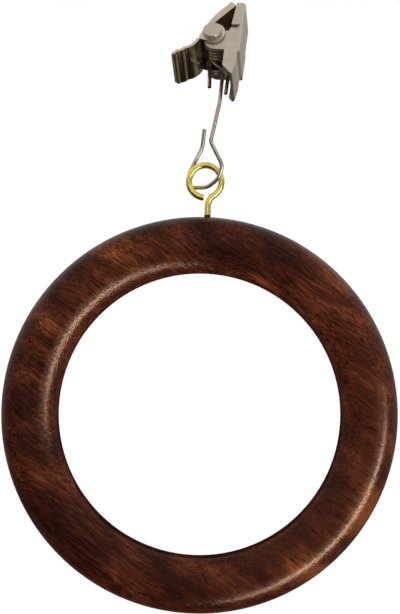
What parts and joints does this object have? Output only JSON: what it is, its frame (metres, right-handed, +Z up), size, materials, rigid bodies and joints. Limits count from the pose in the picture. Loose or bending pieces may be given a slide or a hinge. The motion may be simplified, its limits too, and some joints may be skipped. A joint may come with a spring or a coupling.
{
  "type": "curtain ring with clip",
  "caption": "Turned wooden curtain ring with a brass screw eye, a steel wire hook through it and a sprung folded-steel clip that grips the curtain's edge.",
  "frame": {"origin": "centre of the ring's bore, halfway through its thickness", "axes": "+Y along the bore, away from the side with the rivet's flat head; +Z up, so that the eye, hook and clip hang towards -Z"},
  "size_m": [0.07, 0.016, 0.1086],
  "materials": {
    "wood": "dark reddish-brown lacquered hardwood",
    "brass": "bright drawn brass",
    "hook_steel": "plain steel wire",
    "jaw_steel": "satin nickel",
    "lever_steel": "satin nickel",
    "rivet_steel": "satin nickel",
    "spring_steel": "spring wire"
  },
  "bodies": {
    "ring_body": {"ring": "wood", "eye_screw": "brass"},
    "hook": {"hook_wire": "hook_steel"},
    "clip": {"rear_jaw": "jaw_steel", "pivot_pin": "rivet_steel", "torsion_spring": "spring_steel"},
    "front": {"front_jaw": "lever_steel"}
  },
  "joints": [
    {"name": "hook_swing", "type": "hinge", "parent": "ring_body", "child": "hook", "pos_m": [0.00085, 0, -0.04126], "axis": [0, 1, 0], "range_deg": [-45, 45]},
    {"name": "clip_sway", "type": "hinge", "parent": "hook", "child": "clip", "pos_m": [0.00032, 0.0015, -0.06511], "axis": [-0.1094, 0.8039, 0.5847], "range_deg": [-3, 3]},
    {"name": "clip_open", "type": "hinge", "parent": "clip", "child": "front", "pos_m": [0.00032, 0.0015, -0.06511], "axis": [0.1094, -0.8039, -0.5847], "range_deg": [0, 15], "stiffness_Nm_per_rad": 0.01, "springref_deg": -28.65, "deforming": ["torsion_spring"]}
  ]
}
